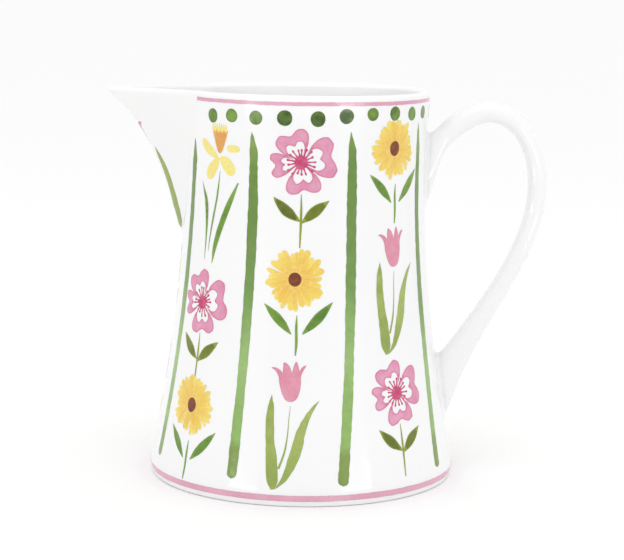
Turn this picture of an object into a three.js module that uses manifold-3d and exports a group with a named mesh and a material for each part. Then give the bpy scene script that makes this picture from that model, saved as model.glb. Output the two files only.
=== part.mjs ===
// A porcelain cream jug: a waisted body on a foot ring, a beak-shaped spout and a loop handle.
// Units are millimetres, +Z is up, the spout points to -X and the handle to +X.
// The pieces are modelled round the body's own axis; the exported group then shifts them so that
// the origin is under the middle of the whole jug, on the surface it stands on.
import * as THREE from "three";
import { mergeVertices } from "three/addons/utils/BufferGeometryUtils.js";
import Module from "manifold-3d";

const wasm = await Module();
wasm.setup();

// ---------- driving dimensions ----------
const HEIGHT = 110; // foot to rim
const WALL = 2.6; // thickness of the cast wall
const GAP = 0.1; // air left between neighbouring solids
const LUTE = 0.5; // thickness of the slip that joins two castings

const WAIST_R = 34.2; // smallest outside radius
const WAIST_Z = 82; // its height
const FLARE = 10.1; // how much wider the wall would be at the surface it stands on
const FLARE_POWER = 1.7;
const RIM_FLARE = 0.8; // how much wider the rim is than the waist

const FOOT_R = 42.9; // outer edge of the ring that touches the table
const FOOT_WIDTH = 3;
const FOOT_RECESS = 1.8; // how far the underside stands clear of the table
const BASE_CORNER_Z = 3; // where the wall ends and rounds under into the foot
const FLOOR_Z = 5; // top of the floor inside
const FLOOR_CORNER = 7; // radius where the floor turns up into the wall

const BEAK_FLOOR_Z = 67; // where the spout's keel leaves the wall
const BEAK_SLOPE = 14.2; // straight part of the keel's reach past the wall, at the rim
const BEAK_CURL = 9; // extra reach where the keel curls outwards under the lip
const BEAK_CURL_POWER = 5;
const BEAK_CHANNEL = 0.9; // the channel's reach as a share of the keel's
const SEAM_ANGLE_TOP = THREE.MathUtils.degToRad(32); // half angle of the spout's seam, at the rim
const SEAM_ANGLE_FOOT = THREE.MathUtils.degToRad(4); // and at the foot of the seam

const ROUND_SEGMENTS = 48;
const WALL_LEVELS = 13;
const LIP_STEPS = 5;
const BEAK_STATIONS = 16;
const BEAK_LEVELS = 12;
const SEAM_LEVELS = 36;
const HANDLE_STATIONS = 44;
const HANDLE_SIDES = 14;

// ---------- helpers ----------
const lerp = THREE.MathUtils.lerp;
const range = (count) => [...Array(count).keys()];
const share = (index, count) => index / (count - 1);

// A solid for boolean work, from any closed geometry. A mesh that came out inside is turned round.
function solidOf(geometry) {
  const bare = geometry.clone();
  bare.deleteAttribute("normal");
  bare.deleteAttribute("uv");
  const merged = mergeVertices(bare, 1e-4);
  const vertProperties = merged.attributes.position.array;
  const triVerts = new Uint32Array(merged.index.array);
  const made = new wasm.Manifold(new wasm.Mesh({ numProp: 3, vertProperties, triVerts }));
  if (made.volume() > 0) return made;
  const reversed = triVerts.slice().reverse();
  return new wasm.Manifold(new wasm.Mesh({ numProp: 3, vertProperties, triVerts: reversed }));
}

function geometryOf(solid) {
  const mesh = solid.getMesh();
  const positions = new Float32Array(mesh.numVert * 3);
  for (const i of range(mesh.numVert)) {
    positions.set(mesh.vertProperties.subarray(i * mesh.numProp, i * mesh.numProp + 3), i * 3);
  }
  const geometry = new THREE.BufferGeometry();
  geometry.setAttribute("position", new THREE.BufferAttribute(positions, 3));
  geometry.setIndex(new THREE.BufferAttribute(mesh.triVerts, 1));
  geometry.computeVertexNormals();
  return geometry;
}

// A closed loft through sections, each a loop of the same number of points. The ends are closed by
// ladders of triangles that step from one half of the loop to the other.
function loft(sections) {
  const corners = sections[0].length;
  const index = [];
  for (const s of range(sections.length - 1)) {
    for (const c of range(corners)) {
      const a = s * corners + c;
      const b = s * corners + ((c + 1) % corners);
      index.push(a, b, b + corners, a, b + corners, a + corners);
    }
  }
  const last = (sections.length - 1) * corners;
  const ladder = range(corners).map((i) => (i % 2 ? corners - (i + 1) / 2 : i / 2));
  for (const i of range(corners - 2)) {
    const [a, b] = i % 2 ? [ladder[i + 1], ladder[i]] : [ladder[i], ladder[i + 1]];
    const c = ladder[i + 2];
    index.push(a, b, c, last + b, last + a, last + c);
  }
  const geometry = new THREE.BufferGeometry().setFromPoints(sections.flat());
  geometry.setIndex(index);
  return solidOf(geometry);
}

// A solid of revolution about Z from a closed profile of [radius, height] points.
function turned(profile) {
  const points = [...profile, profile[0]].map(([r, z]) => new THREE.Vector2(r, z));
  const geometry = new THREE.LatheGeometry(points, ROUND_SEGMENTS);
  return solidOf(geometry.rotateX(Math.PI / 2));
}

// ---------- the wall's shape ----------
// Outside radius of the round wall at a height.
function wallRadius(z) {
  if (z > WAIST_Z) return WAIST_R + RIM_FLARE * ((z - WAIST_Z) / (HEIGHT - WAIST_Z)) ** 2;
  return WAIST_R + FLARE * ((WAIST_Z - z) / WAIST_Z) ** FLARE_POWER;
}

// The lip is a half circle across the wall. across runs from 1 outside to 0 inside.
const LIP_RADIUS = WALL / 2;
const LIP_Z = HEIGHT - LIP_RADIUS;
const lipArc = range(LIP_STEPS).map((i) => {
  const angle = (Math.PI * (i + 1)) / (LIP_STEPS + 1);
  return { across: 0.5 + 0.5 * Math.cos(angle), z: LIP_Z + LIP_RADIUS * Math.sin(angle) };
});

const innerRadius = (z) => wallRadius(z) - WALL;

// The body's section, from the middle of the underside, out, up and over the lip, and back down.
function bodyProfile() {
  const footInner = FOOT_R - FOOT_WIDTH;
  const underside = [
    [0, FOOT_RECESS],
    [footInner - 1.2, FOOT_RECESS],
    [footInner, 0.5],
    [footInner + 0.5, 0],
    [FOOT_R - 0.6, 0],
    [FOOT_R + 0.2, 0.7],
    [wallRadius(BASE_CORNER_Z) - 0.2, BASE_CORNER_Z - 1.2],
  ];
  const outside = range(WALL_LEVELS).map((i) => {
    const z = lerp(BASE_CORNER_Z, LIP_Z, share(i, WALL_LEVELS));
    return [wallRadius(z), z];
  });
  const lip = lipArc.map(({ across, z }) => [lerp(innerRadius(z), wallRadius(z), across), z]);
  const cornerTop = FLOOR_Z + FLOOR_CORNER;
  const inside = range(WALL_LEVELS).map((i) => {
    const z = lerp(LIP_Z, cornerTop, share(i, WALL_LEVELS));
    return [innerRadius(z), z];
  });
  const cornerCentre = innerRadius(cornerTop) - FLOOR_CORNER;
  const corner = [0.3, 0.6, 0.85, 1].map((part) => {
    const angle = (part * Math.PI) / 2;
    const r = cornerCentre + FLOOR_CORNER * Math.cos(angle);
    return [r, cornerTop - FLOOR_CORNER * Math.sin(angle)];
  });
  return [...underside, ...outside, ...lip, ...inside, ...corner, [0, FLOOR_Z]];
}

// ---------- the spout ----------
const beakRise = (z) => Math.max(0, (z - BEAK_FLOOR_Z) / (HEIGHT - BEAK_FLOOR_Z));
const seamAngle = (z) => lerp(SEAM_ANGLE_FOOT, SEAM_ANGLE_TOP, beakRise(z));
const keelReach = (z) => BEAK_SLOPE * beakRise(z) + BEAK_CURL * beakRise(z) ** BEAK_CURL_POWER;

// Half of the spout's plan at a height: it leaves the round wall at the seam without a corner,
// runs out along a nearly straight flank and rounds over at the keel. It is drawn with the spout
// along +X, for the outside of the wall (across = 1) or the channel (across = 0).
function flank(z, across) {
  const reach = keelReach(z);
  const radius = wallRadius(z) - WALL * (1 - across);
  const keel = radius + reach * lerp(BEAK_CHANNEL, 1, across);
  const angle = seamAngle(z) - GAP / radius;
  const seam = new THREE.Vector2(Math.cos(angle), Math.sin(angle)).multiplyScalar(radius);
  const length = seam.distanceTo(new THREE.Vector2(keel, 0));
  const along = new THREE.Vector2(Math.sin(angle), -Math.cos(angle));
  const leave = seam.clone().addScaledVector(along, 0.16 * length);
  const arrive = new THREE.Vector2(keel, lerp(0.3, 0.12, beakRise(z)) * length);
  return new THREE.CubicBezierCurve(seam, leave, arrive, new THREE.Vector2(keel, 0));
}

function beakSolid() {
  const levels = range(BEAK_LEVELS).map((i) =>
    lerp(BEAK_FLOOR_Z + GAP, LIP_Z, share(i, BEAK_LEVELS) ** 0.8),
  );
  const rows = [
    ...levels.map((z) => ({ across: 1, z })),
    ...lipArc,
    ...levels.toReversed().map((z) => ({ across: 0, z })),
  ];
  const stations = range(2 * BEAK_STATIONS + 1).map((i) => i / BEAK_STATIONS - 1);
  const sections = stations.map((station) =>
    rows.map(({ across, z }) => {
      const { x, y } = flank(z, across).getPoint(1 - Math.abs(station));
      return new THREE.Vector3(-x, Math.sign(station) * y, z);
    }),
  );
  return loft(sections);
}

// The wedge that the spout's seam cuts out of the round wall, widened by a margin all round.
function seamWedge(margin) {
  const inner = WAIST_R - 2 * WALL;
  const outer = WAIST_R + 1.5 * WALL;
  const top = HEIGHT + 1;
  const levels = range(SEAM_LEVELS).map((i) =>
    lerp(BEAK_FLOOR_Z - margin, top, share(i, SEAM_LEVELS)),
  );
  const sections = levels.map((z) => {
    const angle = seamAngle(z) + margin / WAIST_R;
    return [
      [inner, -angle],
      [outer, -angle],
      [outer, 0],
      [outer, angle],
      [inner, angle],
    ].map(([r, a]) => new THREE.Vector3(-r * Math.cos(a), r * Math.sin(a), z));
  });
  return loft(sections);
}

// ---------- the handle ----------
// Matched points down the outer and inner edge of the loop, as [x, z], upper root to lower root.
// The first and last pair lie inside the wall, where the handle is cut to fit it.
const HANDLE_OUTER = [
  [30, 94.5], [36, 98.5], [42, 103.8], [51.2, 107.1], [60.6, 103.8], [66.4, 95.3], [68.7, 85],
  [67.9, 75.4], [64.2, 63.8], [58.3, 52.1], [51.7, 40.3], [46, 28.5], [42, 18], [36, 8],
];
const HANDLE_INNER = [
  [30, 70], [35.2, 79.5], [40.2, 93.6], [51.2, 101.1], [57.4, 99.3], [61.8, 93], [63.4, 85],
  [62.7, 75.9], [59.4, 66], [54.3, 56], [47.6, 45.6], [42.2, 38], [38.6, 34], [30, 31],
];
const HANDLE_WIDTH = 7.8; // across the loop, at its middle
const HANDLE_ROOT_WIDTH = 10; // and at its roots
const HANDLE_SQUARENESS = 2.3; // exponent of the section's superellipse; 2 is an ellipse

function edgeCurve(points) {
  return new THREE.CatmullRomCurve3(points.map(([x, z]) => new THREE.Vector3(x, 0, z)));
}

const bent = (value) => Math.sign(value) * Math.abs(value) ** (2 / HANDLE_SQUARENESS);

// The handle before it is cut to the wall, grown by a margin all round.
function handleBar(margin) {
  const outer = edgeCurve(HANDLE_OUTER);
  const inner = edgeCurve(HANDLE_INNER);
  const corners = range(HANDLE_SIDES).map((i) => (2 * Math.PI * i) / HANDLE_SIDES);
  const sections = range(HANDLE_STATIONS).map((i) => {
    const t = share(i, HANDLE_STATIONS);
    const from = inner.getPoint(t);
    const to = outer.getPoint(t);
    const middle = from.clone().lerp(to, 0.5);
    const half = to.clone().sub(middle);
    half.setLength(half.length() + margin);
    const towardsRoot = Math.abs(2 * t - 1) ** 4;
    const halfWidth = lerp(HANDLE_WIDTH, HANDLE_ROOT_WIDTH, towardsRoot) / 2 + margin;
    return corners.map((angle) =>
      middle
        .clone()
        .addScaledVector(half, bent(Math.cos(angle)))
        .add(new THREE.Vector3(0, halfWidth * bent(Math.sin(angle)), 0)),
    );
  });
  return loft(sections);
}

// The round wall as a solid plug, grown outwards by a margin.
function wallPlug(margin) {
  const side = range(WALL_LEVELS).map((i) => {
    const z = lerp(BASE_CORNER_Z, LIP_Z, share(i, WALL_LEVELS));
    return [wallRadius(z) + margin, z];
  });
  return turned([[0, -5], [wallRadius(BASE_CORNER_Z) + margin, -5], ...side, [0, LIP_Z]]);
}

// ---------- the pieces ----------
const porcelain = { color: 0xf4f3f1, roughness: 0.12, metalness: 0 };
const slip = { color: 0xefede8, roughness: 0.35, metalness: 0 };

function piece(name, solid, finish) {
  const mesh = new THREE.Mesh(geometryOf(solid), new THREE.MeshStandardMaterial(finish));
  mesh.name = name;
  return mesh;
}

const round = turned(bodyProfile());
const body = round.subtract(seamWedge(LUTE + GAP));
const beakLute = round.intersect(seamWedge(LUTE)).subtract(seamWedge(0));
const beak = beakSolid();

const handle = handleBar(0).subtract(wallPlug(LUTE + GAP));
const lutes = handleBar(LUTE).intersect(wallPlug(LUTE).subtract(wallPlug(GAP)));
const [lowerLute, upperLute] = lutes
  .decompose()
  .sort((a, b) => a.boundingBox().max[2] - b.boundingBox().max[2]);

const jug = new THREE.Group();
jug.add(
  piece("body", body, porcelain),
  piece("spout", beak, porcelain),
  piece("spout_lute", beakLute, slip),
  piece("handle", handle, porcelain),
  piece("handle_upper_lute", upperLute, slip),
  piece("handle_lower_lute", lowerLute, slip),
);

// The origin goes under the middle of the jug's length.
const extent = new THREE.Box3().setFromObject(jug);
jug.position.x = -(extent.min.x + extent.max.x) / 2;

export default jug;
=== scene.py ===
# %% [markdown]
# # A porcelain cream jug with a printed pattern of spring flowers
# The jug is white porcelain: a waisted body with a beak for a spout and a loop for a handle, all
# under one clear glaze. The pattern is printed in ceramic colours and fired onto the glaze. The
# script first reads the fixed frame, then skins it with fine surfaces, and then lays the printed
# pattern on them, flower by flower.

# %% Read the frame
import math
import random

import bpy
import numpy as np
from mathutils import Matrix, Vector
from mathutils.geometry import delaunay_2d_cdt


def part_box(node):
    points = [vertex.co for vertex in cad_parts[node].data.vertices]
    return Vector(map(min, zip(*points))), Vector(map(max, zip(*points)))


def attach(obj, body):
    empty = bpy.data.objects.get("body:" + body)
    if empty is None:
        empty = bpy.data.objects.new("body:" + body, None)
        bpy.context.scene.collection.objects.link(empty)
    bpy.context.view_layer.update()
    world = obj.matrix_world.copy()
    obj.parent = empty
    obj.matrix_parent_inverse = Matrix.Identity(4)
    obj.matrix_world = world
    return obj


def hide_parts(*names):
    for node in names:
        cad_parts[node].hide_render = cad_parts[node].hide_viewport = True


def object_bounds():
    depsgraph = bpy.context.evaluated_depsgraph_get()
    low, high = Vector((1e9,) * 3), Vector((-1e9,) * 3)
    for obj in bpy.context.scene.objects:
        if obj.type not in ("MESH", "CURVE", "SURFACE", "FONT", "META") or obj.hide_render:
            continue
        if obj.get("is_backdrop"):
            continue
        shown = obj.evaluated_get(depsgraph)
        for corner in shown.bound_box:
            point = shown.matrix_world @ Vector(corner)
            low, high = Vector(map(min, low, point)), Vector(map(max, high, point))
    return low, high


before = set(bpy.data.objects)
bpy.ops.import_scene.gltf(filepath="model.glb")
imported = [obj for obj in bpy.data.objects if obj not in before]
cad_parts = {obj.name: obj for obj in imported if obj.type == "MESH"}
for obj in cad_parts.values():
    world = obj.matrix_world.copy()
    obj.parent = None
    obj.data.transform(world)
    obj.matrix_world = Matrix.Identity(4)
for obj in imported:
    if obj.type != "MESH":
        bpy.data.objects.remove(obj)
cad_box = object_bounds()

print("the frame holds", len(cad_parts), "solids")

# %% [markdown]
# A potter thinks in millimetres from the middle of the jug, and Blender works in metres from the
# middle of the whole object, handle included. One helper turns the first into the second, so every
# later cell can draw in millimetres round the jug's own upright axis.

# %% Where the jug's own axis stands
MM = 0.001
body_low, body_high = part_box("body")
AXIS_X = (body_low[0] + body_high[0]) / 2  # metres
HEIGHT = (body_high[2] - body_low[2]) / MM


def metres(points):
    """Points in millimetres round the jug's axis, turned into metres in the frame."""
    placed = np.asarray(points, dtype=float) * MM
    placed[:, 0] += AXIS_X
    return placed


print(f"the axis stands at x = {AXIS_X / MM:.2f} mm, and the jug is {HEIGHT:.1f} mm tall")

# %% [markdown]
# Every piece is made the same way: a list of points, a list of faces and its finishes. Nothing on
# this jug moves, so every piece rides on the one body, called root.

# %% A helper that makes a piece


def make_piece(name, points, faces, finishes, face_finish=None, normals=None):
    """A smooth mesh from points in millimetres, riding on the jug."""
    mesh = bpy.data.meshes.new(name)
    mesh.from_pydata(metres(points).tolist(), [], faces)
    mesh.update()
    for finish in finishes:
        mesh.materials.append(finish)
    if face_finish is not None:
        mesh.polygons.foreach_set("material_index", face_finish)
    mesh.polygons.foreach_set("use_smooth", [True] * len(mesh.polygons))
    if normals is not None:
        mesh.normals_split_custom_set_from_vertices(normals)
    piece = bpy.data.objects.new(name, mesh)
    bpy.context.scene.collection.objects.link(piece)
    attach(piece, "root")
    return piece


# %% [markdown]
# ## The finishes
# A material in Blender is a small network of nodes. These helpers add a node, set its values by
# name and join it to others, so that each recipe below reads as a list of steps.

# %% Helpers for material recipes


class Recipe:
    """A material with one Principled shader, and short ways to add nodes to it."""

    def __init__(self, name):
        self.material = bpy.data.materials.new(name)
        self.material.use_nodes = True
        self.tree = self.material.node_tree
        self.shader = self.tree.nodes["Principled BSDF"]

    def feed(self, socket, value):
        """Join another node's output to a socket, or set the socket to a plain value."""
        if isinstance(value, bpy.types.NodeSocket):
            self.tree.links.new(value, socket)
        elif socket.type == "RGBA":
            socket.default_value = (*value, 1)
        else:
            socket.default_value = value

    def add(self, kind, inputs=None, **settings):
        node = self.tree.nodes.new("ShaderNode" + kind)
        for key, value in settings.items():
            setattr(node, key, value)
        for key, value in (inputs or {}).items():
            self.feed(node.inputs[key], value)
        return node

    def coat(self, **values):
        """Set the shader's own sockets."""
        for key, value in values.items():
            self.feed(self.shader.inputs[key.replace("_", " ")], value)

    def place(self):
        """Where a point is in its piece, so that a pattern stays put on the clay."""
        return self.add("TexCoord").outputs["Object"]

    def mark(self, name):
        """A number that the mesh carries at its points."""
        return self.add("Attribute", attribute_name=name).outputs["Fac"]

    def calc(self, operation, *values):
        return self.add("Math", dict(enumerate(values)), operation=operation).outputs[0]

    def noise(self, scale, detail=2.0, roughness=0.5):
        inputs = {"Vector": self.place(), "Scale": scale, "Detail": detail, "Roughness": roughness}
        return self.add("TexNoise", inputs).outputs["Fac"]

    def ramp(self, factor, stops):
        """Turn a number into a colour. stops is a list of (position, colour)."""
        node = self.add("ValToRGB", {"Fac": factor})
        elements = node.color_ramp.elements
        while len(elements) < len(stops):
            elements.new(0.5)
        for element, (position, colour) in zip(elements, stops):
            element.position = position
            element.color = (*colour, 1)
        return node.outputs["Color"]

    def span(self, value, low, high, to_low, to_high):
        """Stretch the numbers from low to high over another range."""
        inputs = {"Value": value, "From Min": low, "From Max": high}
        inputs.update({"To Min": to_low, "To Max": to_high})
        return self.add("MapRange", inputs).outputs["Result"]

    def mix(self, factor, first, second, blend="MIX"):
        inputs = {0: factor, 6: first, 7: second}  # the sockets for colours
        return self.add("Mix", inputs, data_type="RGBA", blend_type=blend).outputs[2]

    def shade(self, colour, share):
        """The colour, darker or lighter by a share near 1."""
        grey = self.add("CombineColor", {0: share, 1: share, 2: share}).outputs[0]
        return self.mix(1.0, colour, grey, "MULTIPLY")


# %% [markdown]
# Glaze is glass. It is never quite flat: it runs a little as it melts, so reflections in it waver
# over a few millimetres, and its gloss varies a touch from place to place. The clay under it is
# white with a cold cast where the glaze is thick. The same wavering surface goes on the printed
# colours, because they melted into the glaze too.

# %% The glaze's surface


def glaze_surface(recipe):
    """The clear, slightly wavy gloss that the white clay and the printed colours share."""
    gloss = recipe.noise(90.0, 3.0)
    waves = recipe.noise(55.0, 1.0)
    orange_peel = recipe.noise(420.0, 2.0)
    height = recipe.calc("MULTIPLY_ADD", orange_peel, 0.12, waves)
    bump = recipe.add("Bump", {"Strength": 0.12, "Distance": 0.0012, "Height": height})
    recipe.coat(
        Roughness=recipe.span(gloss, 0.3, 0.7, 0.045, 0.1),
        IOR=1.52,
        Normal=bump.outputs["Normal"],
    )


def porcelain_finish():
    recipe = Recipe("porcelain_glaze")
    cloud = recipe.noise(28.0, 4.0)
    white = recipe.ramp(cloud, [(0.3, (0.885, 0.888, 0.9)), (0.7, (0.91, 0.908, 0.905))])
    speck = recipe.add("TexVoronoi", {"Vector": recipe.place(), "Scale": 230.0, "Randomness": 1.0})
    iron = recipe.span(speck.outputs["Distance"], 0.028, 0.04, 1.0, 0.0)
    rare = recipe.span(recipe.noise(60.0, 0.0), 0.66, 0.68, 0.0, 0.35)
    recipe.coat(Base_Color=recipe.mix(recipe.calc("MULTIPLY", iron, rare), white, (0.55, 0.5, 0.44)))
    recipe.coat(Subsurface_Weight=0.12, Subsurface_Radius=(1.0, 0.9, 0.8), Subsurface_Scale=0.0015)
    glaze_surface(recipe)
    return recipe.material


porcelain = porcelain_finish()
print("made the finish", porcelain.name)

# %% [markdown]
# The ring that the jug stands on is wiped clean of glaze before firing, or it would stick to the
# kiln shelf. Bare porcelain is matt, a little warmer than the glaze, and sandy to the touch.

# %% Bare clay for the foot


def bare_clay_finish():
    recipe = Recipe("bare_clay")
    sand = recipe.noise(2600.0, 3.0, 0.7)
    stain = recipe.noise(70.0, 3.0)
    tone = recipe.ramp(stain, [(0.3, (0.66, 0.63, 0.58)), (0.7, (0.8, 0.78, 0.74))])
    bump = recipe.add("Bump", {"Strength": 0.35, "Distance": 0.00006, "Height": sand})
    recipe.coat(Base_Color=tone, Normal=bump.outputs["Normal"])
    recipe.coat(Roughness=recipe.span(sand, 0.2, 0.8, 0.6, 0.85))
    return recipe.material


bare_clay = bare_clay_finish()
print("made the finish", bare_clay.name)

# %% [markdown]
# ## The body and the spout
# On the fired jug the body and the spout are one skin, so they are one mesh here. The body's wall
# is a curve turned round the axis: narrow at the waist, wide at the foot, and very slightly flared
# at the rim. wall_radius gives that curve. The beak grows out of it: its keel leaves the wall a
# little over halfway up, leans out, and curls further out under the lip.

# %% The wall's curve and the beak's rise
WALL = 2.6
LIP_RADIUS = WALL / 2
LIP_Z = HEIGHT - LIP_RADIUS
WAIST_R, WAIST_Z = 34.2, 82.0
FLARE, FLARE_POWER, RIM_FLARE = 10.1, 1.7, 0.8
BEAK_FLOOR_Z, BEAK_SOFTNESS = 67.0, 1.2
BEAK_SLOPE, BEAK_CURL, BEAK_CURL_POWER = 14.2, 8.97, 5
BEAK_CHANNEL = 0.9  # how far the channel inside reaches, as a share of the keel
SEAM_FOOT, SEAM_TOP = math.radians(4), math.radians(32)  # half the angle that the beak takes up


def wall_radius(z):
    """Outside radius of the round wall at a height."""
    if z > WAIST_Z:
        return WAIST_R + RIM_FLARE * ((z - WAIST_Z) / (HEIGHT - WAIST_Z)) ** 2
    return WAIST_R + FLARE * ((WAIST_Z - z) / WAIST_Z) ** FLARE_POWER


def beak_rise(z):
    """0 under the beak and 1 at the rim, with a soft start."""
    climb = (z - BEAK_FLOOR_Z) / BEAK_SOFTNESS
    return BEAK_SOFTNESS * math.log1p(math.exp(min(climb, 50))) / (HEIGHT - BEAK_FLOOR_Z)


def keel_reach(z):
    """How far the beak stands out of the round wall. It stops growing where the lip rolls over."""
    rise = beak_rise(min(z, LIP_Z))
    return BEAK_SLOPE * rise + BEAK_CURL * rise**BEAK_CURL_POWER


print(f"waist {2 * WAIST_R:.1f} mm, foot {2 * wall_radius(3):.1f} mm, beak {keel_reach(HEIGHT):.1f} mm long")

# %% [markdown]
# A horizontal slice through the jug is a circle with the beak drawn out of it. Each flank of the
# beak is a Bezier curve that leaves the circle without a corner and rounds over at the keel. The
# slice is kept as half a loop, from the keel round to the handle side, because the jug is the same
# on both sides.

# %% A horizontal slice
FLANK_STEPS, ROUND_STEPS = 30, 110
SEAM_PULL = 0.16  # how far the flank runs on along the circle, as a share of its length
KEEL_ROUNDNESS, KEEL_SHARPENING = 0.3, 0.18  # the keel is rounder low down than at the rim
BEAK_START = 0.1  # the rise over which the slice turns from a circle into a beak


def flank(radius, z, across):
    """Points from the keel to the seam at one height, as (forward, sideways)."""
    keel = radius + keel_reach(z) * (BEAK_CHANNEL + (1 - BEAK_CHANNEL) * across)
    rise = beak_rise(z)
    seam_angle = SEAM_FOOT + (SEAM_TOP - SEAM_FOOT) * rise
    seam = np.array([math.cos(seam_angle), math.sin(seam_angle)]) * radius
    length = math.dist(seam, (keel, 0))
    leave = seam + SEAM_PULL * length * np.array([math.sin(seam_angle), -math.cos(seam_angle)])
    arrive = np.array([keel, (KEEL_ROUNDNESS - KEEL_SHARPENING * rise) * length])
    t = np.linspace(1, 0, FLANK_STEPS + 1)[:, None]
    curve = (1 - t) ** 3 * seam + 3 * (1 - t) ** 2 * t * leave + 3 * (1 - t) * t**2 * arrive
    curve = curve + t**3 * np.array([keel, 0])
    turn = seam_angle * np.linspace(0, 1, FLANK_STEPS + 1)[:, None]
    arc = radius * np.hstack([np.cos(turn), np.sin(turn)])
    begun = min(1.0, rise / BEAK_START)
    return arc + (curve - arc) * begun**2 * (3 - 2 * begun), seam_angle


def half_slice(radius, z, across=1.0):
    near_keel, seam_angle = flank(radius, z, across)
    turn = np.linspace(seam_angle, math.pi, ROUND_STEPS + 1)[1:, None]
    return np.vstack([near_keel, radius * np.hstack([np.cos(turn), np.sin(turn)])])


def whole_slice(radius, z, across=1.0):
    """The slice as a closed loop of (x, y, z), with the keel towards -X."""
    half = half_slice(radius, z, across)
    loop = np.vstack([half, half[-2:0:-1] * (1, -1)])
    return np.column_stack([-loop[:, 0], -loop[:, 1], np.full(len(loop), z)])


print("a slice has", len(whole_slice(WAIST_R, HEIGHT)), "points")

# %% [markdown]
# The wall's section runs from the middle of the underside, out under the foot ring, up the outside,
# over the half-round lip, down the inside and across the floor. Corners that a finger would feel as
# soft are drawn as arcs.

# %% The section of the wall
FOOT_R, FOOT_WIDTH, FOOT_RECESS = 42.9, 3.0, 1.8
BASE_CORNER_Z, FLOOR_Z, FLOOR_CORNER = 3.4, 5.0, 7.0
CLOSE_ROWS_Z = 60.0  # above this the beak begins, and the rows stand closer together


def arc(centre, radius, start, stop, steps):
    """Points (r, z) on an arc, with angles in degrees."""
    return [
        (centre[0] + radius * math.cos(math.radians(a)), centre[1] + radius * math.sin(math.radians(a)))
        for a in np.linspace(start, stop, steps)
    ]


def foot_section():
    """Under the jug, from its middle to where the wall begins."""
    inner = FOOT_R - FOOT_WIDTH
    middle = [(r, FOOT_RECESS) for r in (6, 14, 22, 30, 36)]
    hollow = arc((inner - 1.4, FOOT_RECESS - 1.2), 1.2, 90, 0, 7)
    inner_edge = arc((inner + 0.5, 0.5), 0.5, 180, 270, 5)
    outer_edge = arc((FOOT_R - 0.7, 0.9), 0.9, 270, 340, 6)
    corner_r = wall_radius(BASE_CORNER_Z)
    rounding = [(corner_r - 0.42, 1.15), (corner_r - 0.2, 1.7), (corner_r - 0.06, 2.3)]
    rounding.append((corner_r, BASE_CORNER_Z))
    return middle + hollow + inner_edge + outer_edge + rounding


def wall_rows():
    """Rows of (radius, z, across) from the underside to the floor inside."""
    rows = [(r, z, 1.0) for r, z in foot_section()]
    below, above = np.linspace(BASE_CORNER_Z, CLOSE_ROWS_Z, 30)[1:], np.linspace(CLOSE_ROWS_Z + 1, LIP_Z, 42)
    rows += [(wall_radius(z), z, 1.0) for z in (*below, *above)]
    for angle in np.linspace(0, 180, 15)[1:-1]:
        across = 0.5 + 0.5 * math.cos(math.radians(angle))
        z = LIP_Z + LIP_RADIUS * math.sin(math.radians(angle))
        rows.append((wall_radius(z) - WALL * (1 - across), z, across))
    corner_top = FLOOR_Z + FLOOR_CORNER
    above, below = np.linspace(LIP_Z, CLOSE_ROWS_Z + 1, 36), np.linspace(CLOSE_ROWS_Z - 2, corner_top, 22)
    rows += [(wall_radius(z) - WALL, z, 0.0) for z in (*above, *below)]
    centre = (wall_radius(corner_top) - WALL - FLOOR_CORNER, corner_top)
    rows += [(r, z, 0.0) for r, z in arc(centre, FLOOR_CORNER, -8, -90, 10)]
    rows += [(r, FLOOR_Z, 0.0) for r in (26, 18, 10, 5)]
    return rows


print("the section has", len(wall_rows()), "points")

# %% [markdown]
# The skin is a grid: one row of points for each step of the section and one column for each step
# round the slice, closed by a fan of triangles in the middle of the underside and of the floor. A
# grid made by a formula keeps the glaze's reflections smooth, where a boolean would leave slivers.

# %% Make the skin


def ring_faces(rows, columns, closed=False):
    """Quads between neighbouring rings; closed also joins the last ring to the first."""
    faces = []
    for row in range(rows if closed else rows - 1):
        here, above = row * columns, ((row + 1) % rows) * columns
        for column in range(columns):
            beside = (column + 1) % columns
            faces.append((here + column, here + beside, above + beside, above + column))
    return faces


def make_skin():
    rows = wall_rows()
    rings = [whole_slice(r, z, across) for r, z, across in rows]
    columns = len(rings[0])
    faces = [face[::-1] for face in ring_faces(len(rings), columns)]
    points = np.vstack(rings + [[(0, 0, rows[0][1]), (0, 0, FLOOR_Z)]])
    under, floor = len(points) - 2, len(points) - 1
    last = (len(rings) - 1) * columns
    for column in range(columns):
        beside = (column + 1) % columns
        faces.append((under, column, beside))
        faces.append((floor, last + beside, last + column))
    heights = points[:, 2]
    bare = [1 if max(heights[v] for v in face) < 0.2 else 0 for face in faces]
    skin = make_piece("glazed_wall", points, faces, [porcelain, bare_clay], bare)
    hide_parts("body", "spout", "spout_lute")
    return skin


skin = make_skin()
print("the skin has", len(skin.data.polygons), "faces")

# %% [markdown]
# ## The handle
# The handle is a loop of clay with a flat oval section, pulled wider where it meets the wall. Two
# curves in the upright plane give its outer and inner edge. Each slice across it is an oval between
# matching points of the two. The curves run through a few given points, as a bent spring would.

# %% A smooth curve through points


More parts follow.
